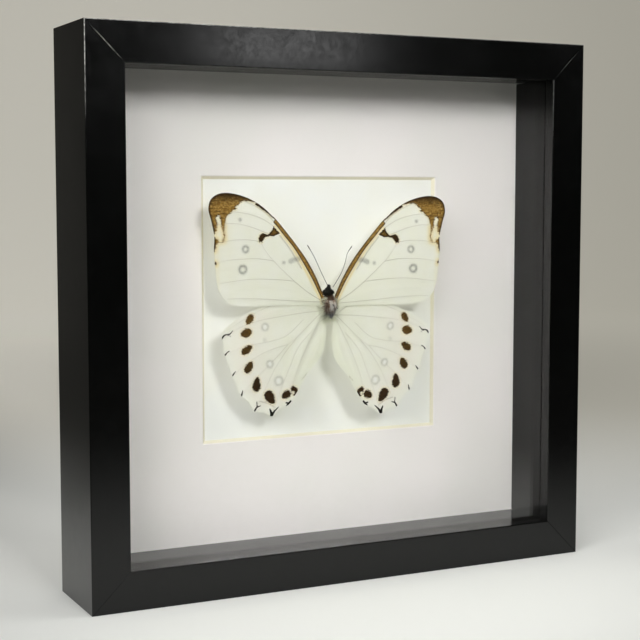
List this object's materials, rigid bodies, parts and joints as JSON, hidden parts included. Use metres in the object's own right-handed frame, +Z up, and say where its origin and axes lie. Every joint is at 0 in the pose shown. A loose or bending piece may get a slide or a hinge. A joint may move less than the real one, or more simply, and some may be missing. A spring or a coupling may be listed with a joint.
{
  "type": "framed butterfly specimen",
  "caption": "White butterfly pinned with open wings behind the bevelled window of a pale mat, in a deep black square box frame with a glass front.",
  "frame": {"origin": "middle of the frame's underside", "axes": "+Z up, +X to the right as the front is seen, -Y out of the glass front"},
  "size_m": [0.25, 0.045, 0.25],
  "materials": {
    "frame_black": "satin black paint",
    "glass": "clear float glass",
    "spacer_black": "matt black",
    "mat_board": "off-white, fine tooth",
    "white_board": "white",
    "hardboard": "brown, screen texture",
    "steel": "zinc plated",
    "wing": "white scales with brown marks",
    "insect_body": "hairy",
    "antenna": "matt chitin",
    "pin_steel": "black enamelled"
  },
  "bodies": {
    "root": {"frame_rail_bottom": "frame_black", "frame_rail_right": "frame_black", "frame_rail_top": "frame_black", "frame_rail_left": "frame_black", "glass_pane": "glass", "spacer_bottom": "spacer_black", "spacer_right": "spacer_black", "spacer_top": "spacer_black", "spacer_left": "spacer_black", "mat": "mat_board", "mounting_board": "white_board", "back_board": "hardboard", "back_tab_1": "steel", "back_tab_2": "steel", "back_tab_3": "steel", "back_tab_4": "steel", "back_tab_5": "steel", "back_tab_6": "steel", "back_tab_7": "steel", "back_tab_8": "steel", "hanger": "steel", "hanger_rivet_left": "steel", "hanger_rivet_right": "steel", "insect_body": "insect_body", "forewing_left": "wing", "forewing_right": "wing", "hindwing_left": "wing", "hindwing_right": "wing", "antenna_left": "antenna", "antenna_right": "antenna", "pin": "pin_steel"}
  },
  "joints": []
}
